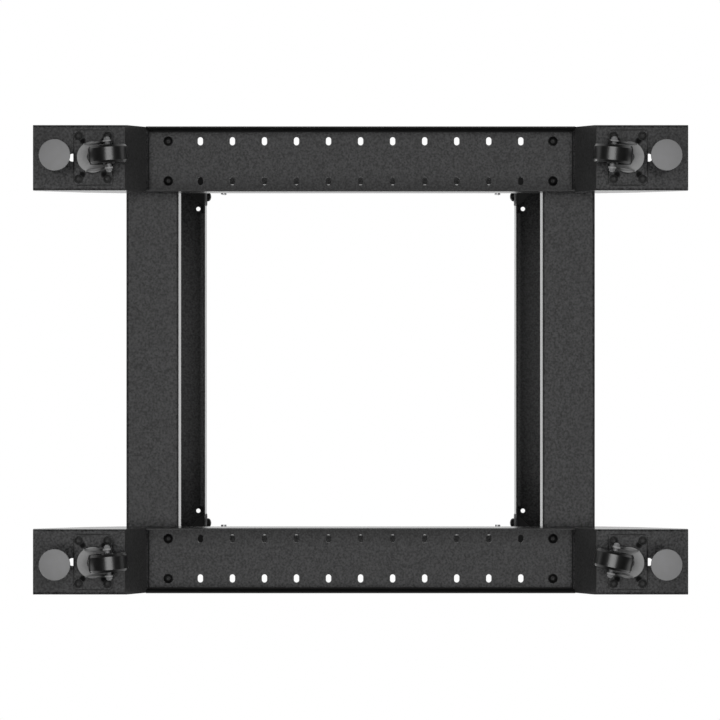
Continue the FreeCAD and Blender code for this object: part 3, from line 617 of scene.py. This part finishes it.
for end, side in corners:
    low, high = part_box(f"levelling_foot_{end}_{side}")
    middle, stemTop = (low + high) / 2, high.z - low.z
    threadLow = levelling["padDepth"] + levelling["bossDepth"] + levelling["threadStart"]
    bm = joinInto(levellingPad(levelling, stemTop), stemThread(levelling, threadLow, stemTop))
    bmesh.ops.translate(bm, vec=(middle.x, middle.y, low.z), verts=bm.verts[:])
    piece = finishPiece(bm, f"threaded_levelling_foot_{end}_{side}", padMetal,
                        f"leveller_{end}_{side}")
    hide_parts(f"levelling_foot_{end}_{side}")
print("levelling feet done")

floorLook = {"grey": 0.86, "roughness": 0.8, "size": 12}


def floorMaterial(look):
    # seen by the camera from above only; every other ray goes through it
    material = bpy.data.materials.new("paleFloor")
    material.use_nodes = True
    tree = material.node_tree
    shader = tree.nodes["Principled BSDF"]
    shader.inputs["Base Color"].default_value = (look["grey"], look["grey"], look["grey"], 1)
    shader.inputs["Roughness"].default_value = look["roughness"]
    clear = tree.nodes.new("ShaderNodeBsdfTransparent")
    side = tree.nodes.new("ShaderNodeNewGeometry")
    path = tree.nodes.new("ShaderNodeLightPath")
    seen = tree.nodes.new("ShaderNodeMath")
    seen.operation = "SUBTRACT"
    seen.use_clamp = True
    mix = tree.nodes.new("ShaderNodeMixShader")
    tree.links.new(path.outputs["Is Camera Ray"], seen.inputs[0])
    tree.links.new(side.outputs["Backfacing"], seen.inputs[1])
    tree.links.new(seen.outputs["Value"], mix.inputs["Fac"])
    tree.links.new(clear.outputs["BSDF"], mix.inputs[1])
    tree.links.new(shader.outputs["BSDF"], mix.inputs[2])
    tree.links.new(mix.outputs["Shader"], tree.nodes["Material Output"].inputs["Surface"])
    return material


bm = bmesh.new()
bmesh.ops.create_grid(bm, x_segments=1, y_segments=1, size=floorLook["size"])
floorMesh = bpy.data.meshes.new("floor")
bm.to_mesh(floorMesh)
bm.free()
floorMesh.materials.append(floorMaterial(floorLook))
floor = bpy.data.objects.new("floor", floorMesh)
bpy.context.scene.collection.objects.link(floor)

lamps = {
    "lamp_below": {"at": (0, 0, -1.9), "to": (0, 0, 0), "size": 1.4, "power": 40, "mirrored": True},
    "lamp_above": {"at": (-1.4, -1.8, 3.6), "to": (0, 0, 0.6), "size": 1.8, "power": 60,
                   "mirrored": True},
    "lamp_front_right": {"at": (2.2, -2.4, 2.6), "to": (0, 0, 0.6), "size": 1.8, "power": 45,
                         "mirrored": False},
    "lamp_rear_left": {"at": (-2.2, 2.4, 2.6), "to": (0, 0, 0.6), "size": 1.8, "power": 45,
                       "mirrored": False}}
for name, look in lamps.items():
    light = bpy.data.lights.new(name, "AREA")
    light.shape = "SQUARE"
    light.size = look["size"]
    light.energy = look["power"]
    lamp = bpy.data.objects.new(name, light)
    lamp.location = look["at"]
    direction = Vector(look["to"]) - Vector(look["at"])
    lamp.rotation_euler = direction.to_track_quat("-Z", "Y").to_euler()
    lamp.visible_camera = False
    lamp.visible_glossy = look["mirrored"]
    bpy.context.scene.collection.objects.link(lamp)

# the surroundings: white for the camera, white above and dark below in reflections, and faint
# ambient light; each is a grey that changes between two heights of the sky, 0 being the horizon
surroundings = {"reflected": {"low": 0.03, "high": 1.0, "start": -0.2, "end": 0.0},
                "ambient": {"low": 0.04, "high": 0.9, "start": -0.03, "end": 0.03}, "seen": 1.0}
world = bpy.data.worlds.new("studio")
world.use_nodes = True
bpy.context.scene.world = world
sky = world.node_tree
skyHeight = heightOf(sky, sky.nodes.new("ShaderNodeTexCoord").outputs["Generated"])
path = sky.nodes.new("ShaderNodeLightPath")


def choose(tree, switch, off, on):
    mix = tree.nodes.new("ShaderNodeMix")
    mix.data_type = "FLOAT"
    tree.links.new(switch, mix.inputs["Factor"])
    feed(tree, off, mix.inputs["A"])
    feed(tree, on, mix.inputs["B"])
    return mix.outputs["Result"]


reflected, ambient = (fade(sky, skyHeight, zone["start"], zone["end"], zone["low"], zone["high"])
                      for zone in (surroundings["reflected"], surroundings["ambient"]))
mirrored = maths(sky, "MAXIMUM", path.outputs["Is Glossy Ray"],
                 path.outputs["Is Transmission Ray"])
grey = choose(sky, mirrored, ambient, reflected)
grey = choose(sky, path.outputs["Is Camera Ray"], grey, surroundings["seen"])
sky.links.new(grey, sky.nodes["Background"].inputs["Color"])

viewFromBelow = {"depth": 4.9589, "lens": 197.025, "sensor": 36, "shift": (-0.00083, -0.00024),
                 "farthest": 40}
cameraData = bpy.data.cameras.new("camera")
cameraData.lens = viewFromBelow["lens"]
cameraData.sensor_width = viewFromBelow["sensor"]
cameraData.shift_x, cameraData.shift_y = viewFromBelow["shift"]
cameraData.clip_end = viewFromBelow["farthest"]
camera = bpy.data.objects.new("camera", cameraData)
# it looks straight up, with the rack's right side at the top
camera.matrix_world = Matrix(((0, 1, 0, 0), (1, 0, 0, 0), (0, 0, -1, -viewFromBelow["depth"]),
                              (0, 0, 0, 1)))
bpy.context.scene.collection.objects.link(camera)
bpy.context.scene.camera = camera
bpy.context.scene.view_settings.view_transform = "Standard"
print("stage set")
